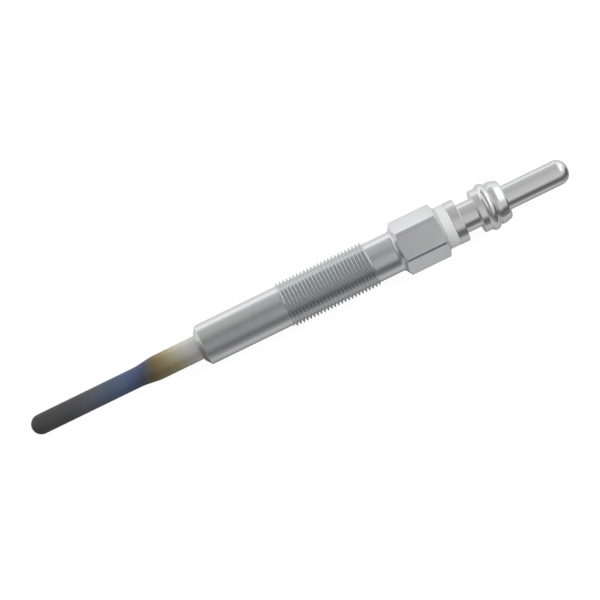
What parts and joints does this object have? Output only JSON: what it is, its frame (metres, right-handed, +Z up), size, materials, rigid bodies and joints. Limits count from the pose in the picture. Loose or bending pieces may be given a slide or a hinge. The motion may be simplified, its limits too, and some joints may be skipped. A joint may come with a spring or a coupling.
{
  "type": "diesel glow plug",
  "caption": "Long slim sheathed glow plug with a heat-tinted tip, threaded steel body, hexagon, white insulating washer and round push-on terminal; heats a diesel engine's chamber for starting.",
  "frame": {"origin": "middle of the bounding box's bottom, on the ground under the plug's axis, with the plug lying on one flat of its hexagon", "axes": "+X along the plug's axis from the heated tip to the terminal pin, +Z up through the hexagon's top flat"},
  "size_m": [0.093, 0.009, 0.008],
  "materials": {
    "sheath": "oxidised charcoal at the tip, passing through blue, purple and straw heat tints to grey at the body",
    "body_steel": "satin plated steel with fine turning marks",
    "heating_wire": "dull resistance wire",
    "control_wire": "dull nickel wire",
    "magnesia": "packed off-white mineral powder",
    "bolt_steel": "drawn steel rod",
    "seal_bush": "dull grey bush",
    "seal_rubber": "black ring",
    "white_insulator": "white moulded plastic",
    "terminal_nickel": "bright nickel plate, finely turned"
  },
  "bodies": {
    "root": {"glow_tube": "sheath", "body_shell": "body_steel", "heating_coil": "heating_wire", "control_coil": "control_wire", "magnesia_filling": "magnesia", "connecting_bolt": "bolt_steel", "tube_seal": "seal_bush", "seal_ring": "seal_rubber", "insulating_washer": "white_insulator", "terminal_connector": "terminal_nickel"}
  },
  "joints": []
}
